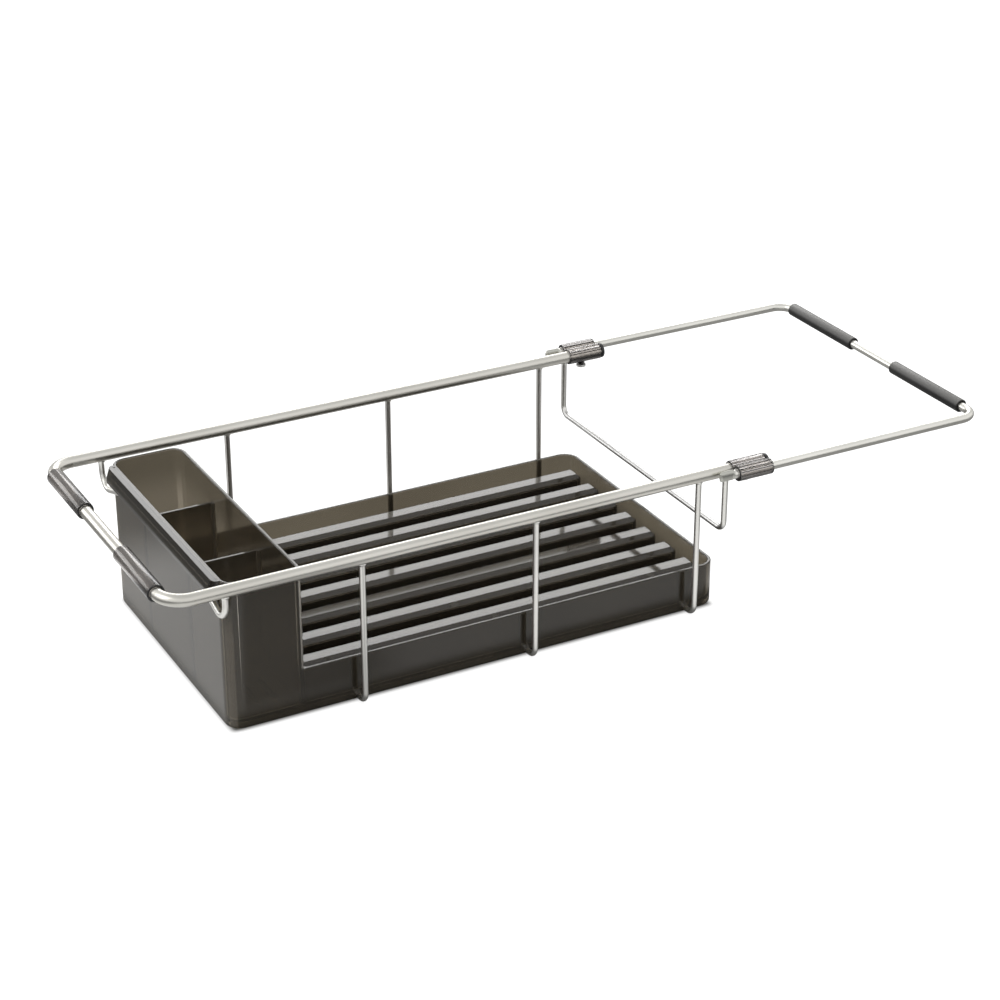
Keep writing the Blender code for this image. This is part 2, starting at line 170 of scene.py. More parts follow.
steelGrain = {
    "detail": 3.0, "rough": 0.6, "bumpDepth": 0.0001, "toneFrom": (0.35, 0.68),
    "marksDetail": 4.0, "marksRough": 0.7, "marksFrom": (0.62, 0.74), "marksRoughness": 0.06,
}
steelLooks = {
    "tube": {"dark": (0.62, 0.605, 0.555), "light": (0.70, 0.685, 0.635), "roughness": 0.27,
             "grainRoughness": 0.10, "grain": 900, "cloud": 9, "marks": 60, "bump": 0.10},
    "wire": {"dark": (0.86, 0.85, 0.81), "light": (0.93, 0.92, 0.88), "roughness": 0.30,
             "grainRoughness": 0.10, "grain": 1100, "cloud": 14, "marks": 80, "bump": 0.08},
    "rod": {"dark": (0.76, 0.75, 0.70), "light": (0.84, 0.83, 0.78), "roughness": 0.26,
            "grainRoughness": 0.10, "grain": 1000, "cloud": 10, "marks": 70, "bump": 0.10,
            "deepAlong": "X", "deepFrom": (0.1118, 0.1104), "deep": (0.50, 0.50, 0.46)},
    "screw": {"dark": (0.86, 0.86, 0.84), "light": (0.93, 0.93, 0.91), "roughness": 0.50,
              "grainRoughness": 0.08, "grain": 1500, "cloud": 60, "marks": 150, "bump": 0.08},
}
# painted shade: the end tie wire is darker along its low run, so that it mirrors less of the lamps and the
# sky
steelLooks["tie"] = dict(steelLooks["wire"], deepAlong="Z", deepFrom=(0.0760, 0.0715),
                         deep=(0.60, 0.595, 0.585))


def steel(name, look):
    # satin stainless: fine polishing grain, faint handling marks and slow changes of tone
    size = steelGrain
    finish = Finish(bpy.data.materials.new(name))
    grain = finish.noise(look["grain"], size["detail"], rough=size["rough"])
    tone = finish.spread(finish.noise(look["cloud"]), *size["toneFrom"])
    marks = finish.noise(look["marks"], size["marksDetail"], rough=size["marksRough"])
    marks = finish.spread(marks, *size["marksFrom"]) * size["marksRoughness"]
    body = finish.mix(tone, colour(*look["dark"]), colour(*look["light"]))
    return finish.surface({
        "Base Color": deepened(finish, body, look),
        "Metallic": 1.0, "IOR": 2.5, "Coat Weight": 0.0,
        "Roughness": look["roughness"] + grain * look["grainRoughness"] + marks,
        "Normal": finish.bump(grain, look["bump"], size["bumpDepth"]),
    })


# Smoke plastic

smokeGrain = {
    "flowStretch": (1, 1, 0.35), "flowFrom": (0.3, 0.7), "bumpDepth": 0.0001, "grainRoughness": 0.035,
    "dustScale": 0.6, "dustDetail": 5.0, "dustRough": 0.75, "dustFrom": (0.60, 0.78), "dustRoughness": 0.05,
}
# where light and shade are painted into the tray's colour, in the imported model: painted light inside the
# pockets, painted shade on the lip, and two painted highlight lines on the holder's near face, of which the
# first is its upright corner beside the ribs and the second also glints
holderPaintedLight = {
    "middle": (-0.26480, 0.0), "half": (0.02800, 0.11335), "soft": 0.0004, "fade": (0.072, 0.108),
    "lip": (-0.29450, -0.29435),
    "lines": (
        {"from": (-0.23850, -0.23800), "to": (-0.23540, -0.23500), "before": (-0.11300, -0.11240),
         "above": (0.0365, 0.0385)},
        {"from": (-0.28452, -0.28437), "to": (-0.28413, -0.28398), "before": (-0.11400, -0.11380),
         "above": (0.012, 0.100)},
    ),
}
smokeLooks = {
    "smoke": {"dark": (0.108, 0.092, 0.067), "light": (0.132, 0.114, 0.083), "clear": 0.75, "shine": 0.5,
              # on the tray: painted light inside the pockets, a painted highlight and painted glint along
              # the holder's lines, and painted shade on the lip
              "roughness": 0.05, "flow": 7, "grain": 700, "bump": 0.005, "pocketPaintedLight": (0.30, 0.262, 0.205),
              "linePaintedHighlight": (0.85, 0.80, 0.72), "lipPaintedShade": (0.060, 0.052, 0.040), "linePaintedGlint": 0.35},
    "sleeve": {"dark": (0.32, 0.300, 0.288), "light": (0.37, 0.348, 0.334), "clear": 0.94, "shine": 0.5,
               "roughness": 0.08, "flow": 30, "grain": 900, "bump": 0.02,
               # painted shade: the left sleeves are darker on their right-hand side
               "deepAlong": "X", "deepFrom": (shared["leftBar"] + 0.0005, shared["leftBar"] + 0.0035),
               "deep": (0.20, 0.188, 0.180)},
    "endSleeve": {"dark": (0.012, 0.0118, 0.0118), "light": (0.020, 0.0196, 0.0196), "clear": 0.0,
                  "shine": 0.42, "roughness": 0.42, "flow": 30, "grain": 900, "bump": 0.10,
                  # painted highlight: the end sleeves are paler on their upper side
                  "deepAlong": "Z", "deepFrom": (rodLevel + 0.0005, rodLevel + 0.0052),
                  "deep": (0.17, 0.167, 0.160)},
    "clamp": {"dark": (0.69, 0.665, 0.650), "light": (0.77, 0.742, 0.725), "clear": 0.95, "shine": 0.5,
              "roughness": 0.09, "flow": 60, "grain": 900, "bump": 0.02,
              # painted shade: the clamps are darker on their lower side
              "deepAlong": "Z", "deepFrom": (shared["drop"] + 0.0022, shared["drop"] - 0.0018),
              "deep": (0.085, 0.079, 0.075)},
    "plug": {"dark": (0.012, 0.012, 0.012), "light": (0.020, 0.020, 0.020), "clear": 0.0, "shine": 0.5,
             "roughness": 0.30, "flow": 60, "grain": 900, "bump": 0.15},
}


def paintHolderLight(finish, body, look):
    # painted light inside the pockets and painted highlights along the lines, painted shade on the lip;
    # gives the last line's painted glint too
    size = holderPaintedLight
    place = finish.place()
    x, y, z = (finish.axis(place, letter) for letter in "XYZ")
    pocket = 1 - finish.spread(z, *size["fade"])
    for part, middle, half in zip((x, y), size["middle"], size["half"]):
        pocket = pocket * (1 - finish.spread(abs(part - middle), half - size["soft"], half))
    # painted light: paler inside the pockets, fading out towards the rim
    body = finish.mix(pocket, body, colour(*look["pocketPaintedLight"]))
    # painted shade: darker on the lip beyond the holder's left wall
    body = finish.mix(1 - finish.spread(x, *size["lip"]), body, colour(*look["lipPaintedShade"]))
    # painted highlights: two pale upright lines on the near face, the last one also given a painted glint
    for mark in size["lines"]:
        line = finish.band(x, mark["from"], mark["to"]) * (1 - finish.spread(y, *mark["before"]))
        line = line * finish.spread(z, *mark["above"])
        body = finish.mix(line, body, colour(*look["linePaintedHighlight"]))
    return body, line * look["linePaintedGlint"]


def smoke(name, look):
    # smoke-tinted clear moulding: light passes through it, browner where it is thin
    size = smokeGrain
    finish = Finish(bpy.data.materials.new(name))
    flow = finish.spread(finish.noise(look["flow"], stretch=size["flowStretch"]), *size["flowFrom"])
    grain = finish.noise(look["grain"])
    dust = finish.noise(look["grain"] * size["dustScale"], size["dustDetail"], rough=size["dustRough"])
    dust = finish.spread(dust, *size["dustFrom"]) * size["dustRoughness"]
    body = finish.mix(flow, colour(*look["dark"]), colour(*look["light"]))
    body = deepened(finish, body, look)
    shine = 0.0
    # on the tray, painted light in the pockets, painted shade on the lip and painted highlight lines, the
    # last with a painted glint through Metallic
    if "pocketPaintedLight" in look:
        body, shine = paintHolderLight(finish, body, look)
    return finish.surface({
        "Base Color": body, "Metallic": shine, "IOR": 1.49, "Coat Weight": 0.0,
        "Transmission Weight": look["clear"], "Specular IOR Level": look["shine"],
        "Roughness": look["roughness"] + grain * size["grainRoughness"] + dust,
        "Normal": finish.bump(grain, look["bump"], size["bumpDepth"]),
    })


steels = {key: steel(key + "Steel", look) for key, look in steelLooks.items()}
plastics = {key: smoke(key + "Plastic", look) for key, look in smokeLooks.items()}
print("materials made")


# Mesh making

def quarterTurn(steps):
    # cosine and sine at even steps from 0 to 90 degrees
    return [(cos(pi / 2 * step / steps), sin(pi / 2 * step / steps)) for step in range(steps + 1)]


def placed(name, data):
    # a new object in the scene
    piece = bpy.data.objects.new(name, data)
    bpy.context.collection.objects.link(piece)
    return piece


def meshOf(name, bm):
    bmesh.ops.recalc_face_normals(bm, faces=bm.faces)
    mesh = bpy.data.meshes.new(name)
    bm.to_mesh(mesh)
    bm.free()
    return mesh


def skin(name, rings, closedRun=False):
    # rings of equal length joined in a row, with a face at each end unless the run is closed
    bm = bmesh.new()
    made = [[bm.verts.new(point) for point in ring] for ring in rings]
    pairs = list(zip(made, made[1:]))
    if closedRun:
        pairs.append((made[-1], made[0]))
    else:
        bm.faces.new(made[0])
        bm.faces.new(made[-1])
    for lower, upper in pairs:
        for index in range(len(lower)):
            after = (index + 1) % len(lower)
            bm.faces.new((lower[index], lower[after], upper[after], upper[index]))
    return meshOf(name, bm)


def blocks(name, groups):
    # one convex solid for each group of points
    bm = bmesh.new()
    for points in groups:
        bmesh.ops.convex_hull(bm, input=[bm.verts.new(point) for point in points])
    return meshOf(name, bm)


squareEnough = 0.98     # a face counts as square to an axis above this cosine


def darkEnds(mesh, axis):
    # gives the faces square to an axis the dark look of a cut end
    for face in mesh.polygons:
        if abs(face.normal.dot(axis)) > squareEnough:
            face.material_index = 1


def dress(name, mesh, material, body, node, crease=32, ends=None):
    # puts a finished mesh in the model, on its body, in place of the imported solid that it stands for
    mesh.transform(toModel)
    piece = placed(name, mesh)
    mesh.materials.append(material)
    if ends:
        mesh.materials.append(plastics["plug"])
        darkEnds(mesh, ends)
    mesh.shade_smooth()
    mesh.set_sharp_from_angle(angle=radians(crease))
    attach(piece, body)
    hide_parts(node)
    return piece


def carved(name, mesh, steps):
    # works through ("UNION" or "DIFFERENCE", mesh) steps and gives the mesh that is left
    target = placed(name, mesh)
    tools = []
    for operation, toolMesh in steps:
        tools.append(placed(toolMesh.name, toolMesh))
        step = target.modifiers.new(toolMesh.name, "BOOLEAN")
        step.operation = operation
        step.solver = "EXACT"
        step.object = tools[-1]
    bpy.context.view_layer.update()
    done = bpy.data.meshes.new_from_object(target.evaluated_get(bpy.context.evaluated_depsgraph_get()))
    done.name = name
    for used in tools + [target]:
        bpy.data.objects.remove(used)
    return done


def bentPath(corners, bend, steps):
    # points and directions along straight runs joined by arcs
    points = [Vector(corner) for corner in corners]
    path = [(points[0], (points[1] - points[0]).normalized())]
    for before, corner, after in zip(points, points[1:], points[2:]):
        incoming = (corner - before).normalized()
        outgoing = (after - corner).normalized()
        turn = incoming.angle(outgoing)
        start = corner - incoming * bend * tan(turn / 2)
        inward = (outgoing - incoming * incoming.dot(outgoing)).normalized()
        centre = start + inward * bend
        for step in range(steps + 1):
            angle = turn * step / steps
            path.append((centre - inward * bend * cos(angle) + incoming * bend * sin(angle),
                         incoming * cos(angle) + inward * sin(angle)))
    path.append((points[-1], (points[-1] - points[-2]).normalized()))
    return path


def circle(centre, along, normal, radius, sides, tall=1.0, thick=1.0):
    across = normal.cross(along).normalized()
    return [centre + normal * radius * tall * cos(2 * pi * index / sides)
            + across * radius * thick * sin(2 * pi * index / sides) for index in range(sides)]


def turned(name, foot, axis, normal, profile, sides, closedRun=False):
    # a solid of revolution; profile is (distance along the axis, radius)
    rings = [circle(foot + axis * place, axis, normal, radius, sides) for place, radius in profile]
    return skin(name, rings, closedRun)


def bore(name, foot, axis, normal, radius, length, sides):
    # a round cutter
    return turned(name, foot, axis, normal, [(0, radius), (length, radius)], sides)


# Frame tube and wires

tubeSize = {"radius": 0.00475, "wall": 0.0009, "bend": 0.0195, "sides": 48, "steps": 20}


def makeTube(size):
    far = shared["frameLength"]
    corners = [(far, -side, 0), (0, -side, 0), (0, side, 0), (far, side, 0)]
    path = bentPath(corners, size["bend"], size["steps"])
    outer, inner = ([circle(point, along, up, radius, size["sides"]) for point, along in path]
                    for radius in (size["radius"], size["radius"] - size["wall"]))
    mesh = skin("frameTube", outer + inner[::-1], True)
    dress("frameTube", mesh, steels["tube"], "frame", "main_frame_tube")


wireSize = {
    "radius": 0.00225, "bend": 0.008, "sides": 28, "steps": 12,
    "cradle": {"cradle_wire_1": 0.1463, "cradle_wire_2": 0.286275, "cradle_wire_3": 0.42625},
    "cradleDrop": 0.1178,
    "tiePlace": 0.4503, "tieDrop": 0.0509,
    # (distance below the weld's top, how much the weld stands out from the wire)
    "weld": ((0, 0.0009), (0.0013, 0.00085), (0.0018, 0.0005), (0.0024, 0.00018), (0.0033, 0)),
    "weldTop": 0.0034,
}
hookSize = {"dip": 0.018, "ramp": 0.056, "bend": 0.012}


def weldedWire(name, corners, bend, node, material=steels["wire"]):
    # a wire whose two ends are welded up into the underside of the tube
    size = wireSize

    def weld(point, along, hand):
        return [circle(point + along * place * hand, along, alongX, size["radius"] + grow, size["sides"])
                for place, grow in size["weld"]]

    path = bentPath(corners, bend, size["steps"])
    run = [circle(point, along, alongX, size["radius"], size["sides"]) for point, along in path[1:-1]]
    mesh = skin(name, weld(*path[0], 1) + run + weld(*path[-1], -1)[::-1])
    dress(name, mesh, material, "frame", node)


def hanging(x, top, low):
    # the corners of a wire that hangs from both long tubes at one x
    return [(x, -side, top), (x, -side, low), (x, side, low), (x, side, top)]


def makeWires(size, hook):
    top = -size["weldTop"]
    for number, (node, x) in enumerate(size["cradle"].items()):
        weldedWire("cradleWire%d" % (number + 1), hanging(x, top, -size["cradleDrop"]), size["bend"], node)
    tie = hanging(size["tiePlace"], top, -size["tieDrop"])
    weldedWire("endTieWire", tie, size["bend"], "end_tie_wire", steels["tie"])
    x, height = shared["lipBarPlace"], shared["lipBarHeight"]
    run = [(side, top), (side, height - hook["dip"]), (side - hook["ramp"], height)]
    corners = [(x, -y, z) for y, z in run] + [(x, y, z) for y, z in reversed(run)]
    weldedWire("lipBarWire", corners, hook["bend"], "lip_bar_wire")


makeTube(tubeSize)
makeWires(wireSize, hookSize)
print("tube and wires made")


# Sleeves on the two end bars

sleeveSize = {
    "left": {"radius": 0.0066, "bore": 0.00505, "length": 0.067, "edge": 0.0004, "outer": 0.105},
    "end": {"radius": 0.0054, "bore": 0.0040, "length": 0.0895, "edge": 0.0005,
            "near": -0.069, "far": 0.0777},
    "sides": 44, "steps": 4,
}


def sleeveProfile(size, steps):
    # a section with its two outer edges rounded, open at the bore
    length, edge = size["length"], size["edge"]
    arc = [(edge * (1 - across), size["radius"] - edge * (1 - along))
           for across, along in quarterTurn(steps)]
    arc += [(length - place, reach) for place, reach in reversed(arc)]
    return [(0, size["bore"])] + arc + [(length, size["bore"])]


def makeSleeves(size):
    left, end = size["left"], size["end"]
    middle = left["outer"] - left["length"] / 2
    onLeft = (left, (0, 0), plastics["sleeve"], "frame", "sleeve_plastic")
    bar = (shared["rodReach"], shared["rodRise"])
    onEnd = (end, bar, plastics["endSleeve"], "extension", "end_sleeve_plastic")
    for name, node, place, (part, (x, z), material, body, slot) in (
            ("leftSleeveNear", "left_sleeve_near", -middle, onLeft),
            ("leftSleeveFar", "left_sleeve_far", middle, onLeft),
            ("endSleeveNear", "end_sleeve_near", end["near"], onEnd),
            ("endSleeveFar", "end_sleeve_far", end["far"], onEnd)):
        foot = Vector((x, place - part["length"] / 2, z))
        mesh = turned(name, foot, alongY, up, sleeveProfile(part, size["steps"]), size["sides"], True)
        dress(name, mesh, material, body, node, ends=alongY)


# Extension rod, with its two ends pressed flat

rodSize = {
    "radius": 0.0035, "bend": 0.0145, "sides": 40, "steps": 16,
    "neck": 0.0028,         # from the clamps to the start of the flats
    "stop": 0.0125,         # a flat's length
    "tall": 1.2, "thick": 0.5429,
    "press": 0.16,          # share of the flat over which it is drawn down from round
    "tip": 0.22,            # share of it that rounds off at the tip
    "flatSteps": 8,
    "tipLeast": 0.06, "tipTall": 0.45, "tipThick": 0.3,     # shares that are left at the very tip
}


def pressedEnd(size, foot, along):
    # the rings of a flat, from the round rod out to its tip
    rings = []
    steps = size["flatSteps"]
    for step in range(1, 2 * steps + 1):
        if step <= steps:
            share = size["press"] * step / steps
            ease = 0.5 - 0.5 * cos(pi * step / steps)
            keep = 1.0
        else:
            angle = pi / 2 * (step - steps) / steps
            share = 1 - size["tip"] + size["tip"] * sin(angle)
            ease = 1.0
            keep = max(cos(angle), size["tipLeast"])
        tall = (1 + (size["tall"] - 1) * ease) * (size["tipTall"] + (1 - size["tipTall"]) * keep)
        thick = (1 + (size["thick"] - 1) * ease) * max(keep, size["tipThick"])
        centre = foot - alongX * size["stop"] * share
        rings.append(circle(centre, along, up, size["radius"], size["sides"], tall, thick))
    return rings


def makeRod(size):
    neck, reach, rise = clampStart - size["neck"], shared["rodReach"], shared["rodRise"]
    corners = [(neck, -rodSide, rise), (reach, -rodSide, rise), (reach, rodSide, rise),
               (neck, rodSide, rise)]
    path = bentPath(corners, size["bend"], size["steps"])
    run = [circle(point, along, up, size["radius"], size["sides"]) for point, along in path]
    near = pressedEnd(size, Vector(corners[0]), alongX)
    far = pressedEnd(size, Vector(corners[-1]), -alongX)
    mesh = skin("extensionRod", near[::-1] + run + far)
    dress("extensionRod", mesh, steels["rod"], "extension", "extension_rod")


makeSleeves(sleeveSize)
makeRod(rodSize)
print("sleeves and extension rod made")


# Clamps, their screws and the plugs in the tube's ends

clampSize = {
    "tubeGrip": 0.0065, "rodGuide": 0.0061, "tubeBore": 0.00505, "rodBore": 0.0038,
    "edge": 0.0005, "edgeSteps": 4, "sides": 96, "crease": 28,
    "grooves": (-58, -34, -10, 14, 38, 62), "grooveWidth": 7,      # degrees from the top
    "grooveDepth": 0.0008,
    "shadeFrom": 0.70,       # share of a groove's depth below which it is painted dark as shade
    "bossRadius": 0.003, "bossHeight": 0.0020, "bossPlace": 0.0131, "bossEdge": 0.0005, "bossSides": 36,
    "screwBore": 0.0019, "screwBoreSides": 28,
}
screwSize = {
    "radius": 0.0016, "head": 0.0040, "headHeight": 0.0022, "tip": 0.0012, "sides": 32,
    "crown": 0.40, "crownFlat": 0.5, "crownSteps": 6,   # shares of the head's height and radius
    "rim": 0.9, "rimIn": 0.94,
    "slotWidth": 0.0009, "slotLength": 0.0042, "slotDepth": 0.0011,
}
plugSize = {"cap": 0.0062, "capLength": 0.0025, "stem": 0.00355, "stemLength": 0.009, "edge": 0.0008,
            "edgeSteps": 5, "sides": 40}


def clampOutline(size, hand, inset):
    # the tube grip and the rod guide side by side, each with shallow grooves along its top
    grip = size["tubeGrip"] - inset
    guide = size["rodGuide"] - inset
    offset = Vector((shared["rodOffset"], shared["rodRise"]))
    gap = offset.length
    toward = offset.normalized()
    across = Vector((-toward.y, toward.x))
    meet = (gap * gap + grip * grip - guide * guide) / (2 * gap)
    gripStart = acos(meet / grip)
    guideStart = acos((gap - meet) / guide) - pi
    points = []
    for centre, radius, start, end in ((Vector((0, 0)), grip, gripStart, 2 * pi - gripStart),
                                       (offset, guide, guideStart, -guideStart)):
        for step in range(size["sides"]):
            angle = start + (end - start) * step / size["sides"]
            direction = toward * cos(angle) + across * sin(angle)
            fromTop = degrees(atan2(direction.x, direction.y))
            depth = 0
            for place in size["grooves"]:
                away = abs(fromTop - place) / size["grooveWidth"]
                if away < 1:
                    depth = size["grooveDepth"] * (0.5 + 0.5 * cos(pi * away))
            points.append(centre + direction * (radius - depth))
    return [(hand * (side + point.x), point.y) for point in points]


def shadeGrooves(mesh, size, hand):
    # paints shade into the bottoms of a clamp's grooves, with the black plug plastic
    for face in mesh.polygons:
        place = Vector((hand * face.center.y, face.center.z - shared["drop"]))
        fromTube = (place - Vector((side, 0))).length
        fromRod = (place - Vector((rodSide, shared["rodRise"]))).length
        inBore = min(abs(fromTube - size["tubeBore"]), abs(fromRod - size["rodBore"])) < size["edge"] / 2
        depth = -min(fromTube - size["tubeGrip"], fromRod - size["rodGuide"])
        if depth > size["grooveDepth"] * size["shadeFrom"] and not inBore:
            face.material_index = 1


def makeClamps(size):
    start, end, edge = clampStart, shared["frameLength"], size["edge"]
    profile = [(edge * (1 - across), edge * (1 - along))
               for across, along in quarterTurn(size["edgeSteps"])]
    places = [(start + place, inset) for place, inset in profile]
    places += [(end - place, inset) for place, inset in reversed(profile)]
    over = edge * 2
    length = end - start + 2 * over
    boss = [(0, size["bossRadius"] - size["bossEdge"]), (size["bossEdge"], size["bossRadius"]),
            (size["bossHeight"] + size["tubeGrip"] / 4, size["bossRadius"])]
    cut, sides = "DIFFERENCE", size["sides"]
    for name, node, hand in (("clampNear", "clamp_near", -1), ("clampFar", "clamp_far", 1)):
        rings = [[Vector((x, y, z)) for y, z in clampOutline(size, hand, inset)] for x, inset in places]
        tubeAxis = Vector((start - over, hand * side, 0))
        rodAxis = Vector((start - over, hand * rodSide, shared["rodRise"]))
        bossLow = Vector((start + size["bossPlace"], hand * side, -size["tubeGrip"] - size["bossHeight"]))
        mesh = carved(name, skin(name, rings), [
            ("UNION", turned(name + "Boss", bossLow, up, alongX, boss, size["bossSides"])),
            (cut, bore(name + "TubeBore", tubeAxis, alongX, up, size["tubeBore"], length, sides)),
            (cut, bore(name + "RodBore", rodAxis, alongX, up, size["rodBore"], length, sides)),
            (cut, bore(name + "ScrewBore", bossLow - up * over, up, alongX, size["screwBore"], -bossLow.z,
                       size["screwBoreSides"])),
        ])
        piece = dress(name, mesh, plastics["clamp"], "frame", node, size["crease"], alongX)
        shadeGrooves(piece.data, size, hand)


def makeScrews(size):
    height, head, radius = size["headHeight"], size["head"], size["radius"]
    headTop = -clampSize["tubeGrip"] - clampSize["bossHeight"] - shared["seatGap"]
    shank = -tubeSize["radius"] + tubeSize["wall"] - headTop + height
    flat = head * size["crownFlat"]
    profile = [(height * size["crown"] * (1 - across), flat + (head - flat) * along)
               for across, along in quarterTurn(size["crownSteps"])]
    profile += [(height * size["rim"], head), (height, head * size["rimIn"]), (height, radius),
                (shank, radius), (shank + size["tip"], radius / 2)]
    wide, long, deep = size["slotWidth"] / 2, size["slotLength"] / 2, size["slotDepth"]
    for name, node, hand in (("clampScrewNear", "clamp_screw_near", -1),
                             ("clampScrewFar", "clamp_screw_far", 1)):
        foot = Vector((clampStart + clampSize["bossPlace"], hand * side, headTop - height))
        steps = []
        for number, (x, y) in enumerate(((wide, long), (long, wide))):
            points = [foot + Vector((across, along, z))
                      for across in (-x, x) for along in (-y, y) for z in (-deep, deep)]
            steps.append(("DIFFERENCE", blocks(name + "Cross%d" % number, [points])))
        mesh = carved(name, turned(name, foot, up, alongX, profile, size["sides"]), steps)
        dress(name, mesh, steels["screw"], "frame", node)


def makePlugs(size):
    edge, cap, stemLength = size["edge"], size["cap"], size["stemLength"]
    end = stemLength + size["capLength"]
    profile = [(0, size["stem"] - edge), (edge, size["stem"]), (stemLength, size["stem"]),
               (stemLength, cap - edge / 4), (stemLength + edge / 4, cap)]
    profile += [(end - edge * (1 - along), cap - edge * (1 - across))
                for across, along in quarterTurn(size["edgeSteps"])]
    for name, node, hand in (("tubePlugNear", "tube_plug_near", -1), ("tubePlugFar", "tube_plug_far", 1)):
        foot = Vector((shared["frameLength"] + shared["seatGap"] - stemLength, hand * side, 0))
        mesh = turned(name, foot, alongX, up, profile, size["sides"])
        dress(name, mesh, plastics["plug"], "frame", node)


makeClamps(clampSize)
makeScrews(screwSize)
makePlugs(plugSize)
print("clamps, screws and plugs made")


# Tray, one moulding with its cutlery holder and the lip that clips over the bar

traySize = {
    "left": 0.0452, "right": 0.45255, "side": 0.11475, "wall": 0.0028,
    "base": -0.1196, "floorUnder": -0.11525, "floorTop": -0.11275, "rim": -0.0829, "holderRim": -0.00135,
    "leftCorner": 0.012, "rightCorner": 0.0135, "footRound": 0.003, "rimRound": 0.0009,
    "skirt": 0.0045, "skirtRound": 0.0012,
    "holderRight": 0.104, "nearCorner": 0.0035, "farCorner": 0.011,
    "innerCorner": 0.0085, "tight": 0.003, "innerFoot": 0.0024,
    "dividers": 0.043996, "divider": 0.0025, "dividerTop": -0.01835, "dividerRound": 0.0006,
    "over": 0.002,      # how far the cutters run past what they cut
    "steps": 9, "arc": 6, "crease": 30,
}
ribSize = {
    "count": 7, "pitch": 0.030063, "top": -0.0896, "topHalf": 0.005, "half": 0.0083, "drop": 0.0028,
    "wall": 0.0022, "endSpace": 0.0054, "topRound": 0.0005, "ledge": 0.0009, "ledgeRound": 0.0003,
    "ledgeLeast": 0.1, "roundLeast": 0.05, "steps": 4,
    # a rib's right end slopes down: (share of the slope, share of tipRound that it is drawn in by)
    "tip": ((0.3, 0.0), (0.6, 0.12), (0.85, 0.45), (0.97, 1.0)), "tipRound": 0.0018,
}
slotSize = {"count": 4, "share": 0.68, "width": 0.005, "endRound": 0.49, "steps": 6,
            "holderCount": 3, "holderLength": 0.034, "holderPitch": 0.014}
notchSize = {"half": 0.00283}
lipSize = {
    "side": 0.10575, "topWidth": 0.0044, "channel": 0.002629, "wall": 0.0020, "tail": 0.0031,
    "endRound": 0.006, "endKeep": 0.25, "steps": 8, "topDrop": 0.00002,
    "edge": 0.0003, "edgeTurn": 0.3, "bulge": 152,      # the bulge starts at this angle round the bar
    "tailIn": 0.12, "tailUp": 0.2,      # shares of the wall by which the tail's edges are rounded
}


def rounded(low, high, radii, steps):
    # a rectangle's outline, with a radius for its left near, right near, right far and left far corner
    centres = ((low[0], low[1], 1, 1), (high[0], low[1], -1, 1), (high[0], high[1], -1, -1),
               (low[0], high[1], 1, -1))
    outline = []
    for corner, ((x, y, towardX, towardY), radius) in enumerate(zip(centres, radii)):
        for step in range(steps + 1):
            angle = pi + corner * pi / 2 + pi / 2 * step / steps
            outline.append((x + towardX * radius + radius * cos(angle),
                            y + towardY * radius + radius * sin(angle)))
    return outline


def stacked(name, low, high, radii, levels):
    # a solid through (z, (left, near, right, far) insets) levels; its corner radii shrink as it is inset
    rings = []
    for z, (left, near, right, far) in levels:
        shrink = ((left + near) / 2, (right + near) / 2, (right + far) / 2, (left + far) / 2)
        outline = rounded((low[0] + left, low[1] + near), (high[0] - right, high[1] - far),
                          [radius - less for radius, less in zip(radii, shrink)], traySize["steps"])
        rings.append([Vector((x, y, z)) for x, y in outline])
    return skin(name, rings)


def footLevels(z, radius):
    # rounds a solid's lower edge
    return [(z + radius * (1 - across), (radius * (1 - along),) * 4)
            for across, along in quarterTurn(traySize["arc"])]


def rimLevels(z, radius, sides=(1, 1, 1, 1)):
    # rounds a solid's upper edge, on the sides marked 1; a negative radius flares a cutter instead
    size = abs(radius)
    return [(z - size + size * along, tuple(mark * radius * (1 - across) for mark in sides))
            for across, along in quarterTurn(traySize["arc"])]


def openLevels(z, radius, sides=(1, 1, 1, 1)):
    # flares a cutter at an upper edge and carries it on past that edge
    levels = rimLevels(z, -radius, sides)
    return levels + [(z + traySize["over"], levels[-1][1])]


def makeOuter(size):
    radii = (size["leftCorner"], size["rightCorner"], size["rightCorner"], size["leftCorner"])
    levels = footLevels(size["base"], size["footRound"]) + rimLevels(size["rim"], size["rimRound"])
    return stacked("tray", (size["left"], -size["side"]), (size["right"], size["side"]), radii, levels)


def makeHolder(size):
    radii = (size["leftCorner"], size["nearCorner"], size["farCorner"], size["leftCorner"])
    levels = [(size["floorUnder"], (0,) * 4)] + rimLevels(size["holderRim"], size["rimRound"])
    low, high = (size["left"], -size["side"]), (size["holderRight"], size["side"])
    return stacked("holder", low, high, radii, levels)


def makePockets(size):
    left, right = size["left"] + size["wall"], size["holderRight"] - size["wall"]
    inner = size["side"] - size["wall"]
    half = size["divider"] / 2
    tight, corner = size["tight"], size["innerCorner"]
    spans = ((-inner, -size["dividers"] - half, (corner, tight, tight, tight), (0, 0, 0, 1)),
             (-size["dividers"] + half, size["dividers"] - half, (tight,) * 4, (0, 1, 0, 1)),
             (size["dividers"] + half, inner, (tight, tight, corner, corner), (0, 1, 0, 0)))
    made = []
    for number, (low, high, radii, flared) in enumerate(spans):
        levels = footLevels(size["floorTop"], size["innerFoot"])
        levels += openLevels(size["dividerTop"], size["dividerRound"], flared)
        made.append(stacked("pocket%d" % (number + 1), (left, low), (right, high), radii, levels))
    levels = [(size["dividerTop"], (0,) * 4)] + openLevels(size["holderRim"], size["rimRound"])
    radii = (corner, tight, corner, corner)
    made.append(stacked("pocketTop", (left, -inner), (right, inner), radii, levels))
    return made


